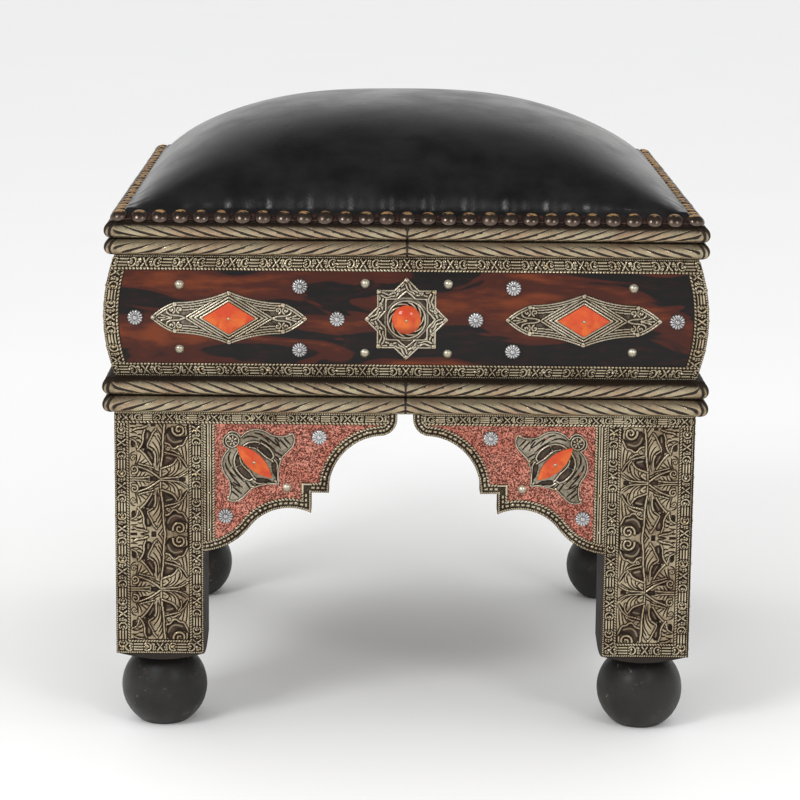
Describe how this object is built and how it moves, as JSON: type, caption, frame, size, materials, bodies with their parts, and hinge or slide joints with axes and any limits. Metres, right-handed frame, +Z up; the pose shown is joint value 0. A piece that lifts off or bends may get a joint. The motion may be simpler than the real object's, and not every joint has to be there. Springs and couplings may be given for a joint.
{
  "type": "moroccan kursi stool",
  "caption": "Low square stool with a crowned leather seat, bulged frieze, rope mouldings, scalloped arches between metal-clad legs and turned ball feet.",
  "frame": {"origin": "middle of the four feet's underside, on the floor", "axes": "+Z up; the front faces -Y and +X is to its right; the four sides are alike"},
  "size_m": [0.4668, 0.4668, 0.474],
  "materials": {
    "dark_wood": "dark brown-black stain, worn, matt",
    "black_wood": "black paint over turned wood, worn, low sheen",
    "figured_wood": "red-brown with black streaks, clear lacquer",
    "plain_board": "bare sawn board",
    "stuffing": "loose fill in plain cloth",
    "black_leather": "near-black, smooth, soft shine",
    "embossed_panel": "nickel silver, embossed leaves, dark patina in the hollows",
    "stamped_strip": "nickel silver, stamped scrolls and beaded edges, patina",
    "rope_metal": "nickel silver, fluted like rope, patina in the flutes",
    "mount_metal": "nickel silver, chased, patina in the lines",
    "copper_sheet": "copper, stippled all over, dark in the dots",
    "orange_stone": "orange stone, polished, cloudy",
    "bright_nail": "polished white metal",
    "bronze_nail": "antique bronze, rubbed bright on top",
    "small_pin": "brass"
  },
  "bodies": {
    "root": {"almond_stones": "orange_stone", "arch_bracket_back_left": "dark_wood", "arch_bracket_back_right": "dark_wood", "arch_bracket_front_left": "dark_wood", "arch_bracket_front_right": "dark_wood", "arch_bracket_left_left": "dark_wood", "arch_bracket_left_right": "dark_wood", "arch_bracket_right_left": "dark_wood", "arch_bracket_right_right": "dark_wood", "arch_copper_back": "copper_sheet", "arch_copper_front": "copper_sheet", "arch_copper_left": "copper_sheet", "arch_copper_right": "copper_sheet", "arch_edging_back": "stamped_strip", "arch_edging_front": "stamped_strip", "arch_edging_left": "stamped_strip", "arch_edging_right": "stamped_strip", "base_rail_back": "dark_wood", "base_rail_front": "dark_wood", "base_rail_left": "dark_wood", "base_rail_right": "dark_wood", "cover_nails": "bronze_nail", "diamond_stones": "orange_stone", "dome_nails": "bright_nail", "foot_back_left": "black_wood", "foot_back_right": "black_wood", "foot_front_left": "black_wood", "foot_front_right": "black_wood", "frieze_board_back": "figured_wood", "frieze_board_front": "figured_wood", "frieze_board_left": "figured_wood", "frieze_board_right": "figured_wood", "frieze_strips": "stamped_strip", "leaf_mounts": "mount_metal", "leather_cover": "black_leather", "leg_back_left": "dark_wood", "leg_back_right": "dark_wood", "leg_front_left": "dark_wood", "leg_front_right": "dark_wood", "leg_sheet_back_left": "embossed_panel", "leg_sheet_back_right": "embossed_panel", "leg_sheet_front_left": "embossed_panel", "leg_sheet_front_right": "embossed_panel", "leg_strips_back_left": "stamped_strip", "leg_strips_back_right": "stamped_strip", "leg_strips_front_left": "stamped_strip", "leg_strips_front_right": "stamped_strip", "lower_rope_skins": "rope_metal", "lozenge_mounts": "mount_metal", "rosette_nails": "bright_nail", "round_stones": "orange_stone", "seat_board": "plain_board", "seat_padding": "stuffing", "small_pins": "small_pin", "star_mounts": "mount_metal", "top_rail_back": "dark_wood", "top_rail_front": "dark_wood", "top_rail_left": "dark_wood", "top_rail_right": "dark_wood", "upper_rope_skins": "rope_metal"}
  },
  "joints": []
}
